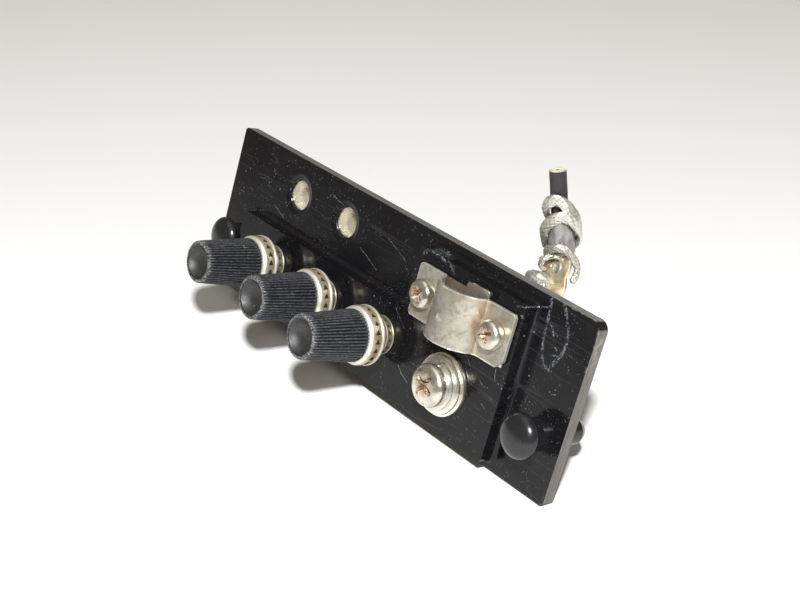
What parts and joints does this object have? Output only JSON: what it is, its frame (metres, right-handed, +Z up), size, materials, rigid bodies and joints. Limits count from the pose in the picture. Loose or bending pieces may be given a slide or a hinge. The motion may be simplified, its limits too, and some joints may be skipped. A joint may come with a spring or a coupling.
{
  "type": "receiver aerial terminal panel",
  "caption": "Black moulded aerial terminal panel with screw-down binding posts, pin jacks, a coaxial saddle clamp, an earth screw and push rivets.",
  "frame": {"origin": "centre of the board's rear face, whose flat rim and ends seat on the chassis", "axes": "+X along the board, +Z up the board as mounted, +Y out of the rear face into the chassis; the posts stand out along -Y"},
  "size_m": [0.105, 0.0368, 0.0525],
  "materials": {
    "black_board": "glossy moulded phenolic-look plastic, scratched",
    "black_cap": "satin moulded plastic, fluted",
    "black_rivet": "glossy nylon",
    "nickel_plate": "dull yellowed nickel plate",
    "strap_metal": "nickel-plated sheet, stained",
    "screw_metal": "nickel plate with rust in the recess",
    "brass": "tinned brass, worn",
    "steel": "zinc-plated steel",
    "lead_jacket": "black PVC",
    "lead_core": "polythene dielectric with a copper wire",
    "grey_foil": "grey foil screen",
    "tinned_braid": "tinned copper braid",
    "solder": "dull solder"
  },
  "bodies": {
    "board": {"terminal_board": "black_board", "post_1_stud": "brass", "post_1_base_collar": "nickel_plate", "post_1_solder_lug": "brass", "post_1_lock_washer": "steel", "post_1_rear_nut": "steel", "post_2_stud": "brass", "post_2_base_collar": "nickel_plate", "post_2_solder_lug": "brass", "post_2_lock_washer": "steel", "post_2_rear_nut": "steel", "post_3_stud": "brass", "post_3_base_collar": "nickel_plate", "post_3_solder_lug": "brass", "post_3_lock_washer": "steel", "post_3_rear_nut": "steel", "jack_1_socket": "nickel_plate", "jack_2_socket": "nickel_plate", "clamp_contact_plate": "strap_metal", "clamp_nut_left": "steel", "clamp_nut_right": "steel", "clamp_rear_washer": "steel", "earth_solder_lug": "brass", "earth_nut": "steel", "rivet_left_grommet": "black_rivet", "rivet_right_grommet": "black_rivet", "pigtail_lug": "brass", "coax_jacket": "lead_jacket", "coax_core": "lead_core", "coax_sleeve": "grey_foil", "solder_joint": "solder", "braid_pigtail": "tinned_braid"},
    "post_1_carriage": {"post_1_pressure_washer": "nickel_plate"},
    "post_1_knob": {"post_1_skirt_insert": "nickel_plate", "post_1_cap": "black_cap"},
    "post_2_carriage": {"post_2_pressure_washer": "nickel_plate"},
    "post_2_knob": {"post_2_skirt_insert": "nickel_plate", "post_2_cap": "black_cap"},
    "post_3_carriage": {"post_3_pressure_washer": "nickel_plate"},
    "post_3_knob": {"post_3_skirt_insert": "nickel_plate", "post_3_cap": "black_cap"},
    "clamp_strap": {"clamp_saddle": "strap_metal"},
    "clamp_left_screw": {"clamp_screw_left": "screw_metal"},
    "clamp_right_screw": {"clamp_screw_right": "screw_metal"},
    "earth_washers": {"earth_flat_washer": "nickel_plate", "earth_clamp_washer": "nickel_plate", "earth_spring_washer": "steel"},
    "earth_screw_body": {"earth_screw": "screw_metal"},
    "rivet_left_pin": {"rivet_left_plunger": "black_rivet"},
    "rivet_right_pin": {"rivet_right_plunger": "black_rivet"}
  },
  "joints": [
    {"name": "post_1_travel", "type": "slide", "parent": "board", "child": "post_1_carriage", "axis": [0, -1, 0], "range_m": [-0.0007, 0.0035]},
    {"name": "post_1_turn", "type": "hinge", "parent": "post_1_carriage", "child": "post_1_knob", "pos_m": [-0.0288, -0.0086, -0.0051], "axis": [0, -1, 0], "range_deg": [-361, 1801]},
    {"name": "post_2_travel", "type": "slide", "parent": "board", "child": "post_2_carriage", "axis": [0, -1, 0], "range_m": [0, 0.0042]},
    {"name": "post_2_turn", "type": "hinge", "parent": "post_2_carriage", "child": "post_2_knob", "pos_m": [-0.0108, -0.0079, -0.0051], "axis": [0, -1, 0], "range_deg": [-1, 2161]},
    {"name": "post_3_travel", "type": "slide", "parent": "board", "child": "post_3_carriage", "axis": [0, -1, 0], "range_m": [-0.0014, 0.0028]},
    {"name": "post_3_turn", "type": "hinge", "parent": "post_3_carriage", "child": "post_3_knob", "pos_m": [0.0072, -0.0093, -0.0051], "axis": [0, -1, 0], "range_deg": [-721, 1441]},
    {"name": "clamp_lift", "type": "slide", "parent": "board", "child": "clamp_strap", "axis": [0, -1, 0], "range_m": [0, 0.0025]},
    {"name": "clamp_screw_left_turn", "type": "hinge", "parent": "clamp_strap", "child": "clamp_left_screw", "pos_m": [0.01635, -0.0064, 0.00695], "axis": [0, -1, 0], "range_deg": [-1, 1801]},
    {"name": "clamp_screw_right_turn", "type": "hinge", "parent": "clamp_strap", "child": "clamp_right_screw", "pos_m": [0.03455, -0.0064, 0.00695], "axis": [0, -1, 0], "range_deg": [-1, 1801]},
    {"name": "earth_washer_lift", "type": "slide", "parent": "board", "child": "earth_washers", "axis": [0, -1, 0], "range_m": [0, 0.0035]},
    {"name": "earth_screw_turn", "type": "hinge", "parent": "earth_washers", "child": "earth_screw_body", "pos_m": [0.02595, -0.008, -0.00645], "axis": [0, -1, 0], "range_deg": [-1, 1801]},
    {"name": "rivet_left_push", "type": "slide", "parent": "board", "child": "rivet_left_pin", "axis": [0, 1, 0], "range_m": [-0.003, 0.0015]},
    {"name": "rivet_right_push", "type": "slide", "parent": "board", "child": "rivet_right_pin", "axis": [0, 1, 0], "range_m": [-0.0021, 0.0024]}
  ],
  "couplings": [
    {"joint": "post_1_turn", "follows": "post_1_travel", "rad_per_m": 8976},
    {"joint": "post_2_turn", "follows": "post_2_travel", "rad_per_m": 8976},
    {"joint": "post_3_turn", "follows": "post_3_travel", "rad_per_m": 8976},
    {"joint": "clamp_screw_left_turn", "follows": "clamp_lift", "rad_per_m": 12566},
    {"joint": "clamp_screw_right_turn", "follows": "clamp_lift", "rad_per_m": 12566},
    {"joint": "earth_screw_turn", "follows": "earth_washer_lift", "rad_per_m": 8976}
  ]
}
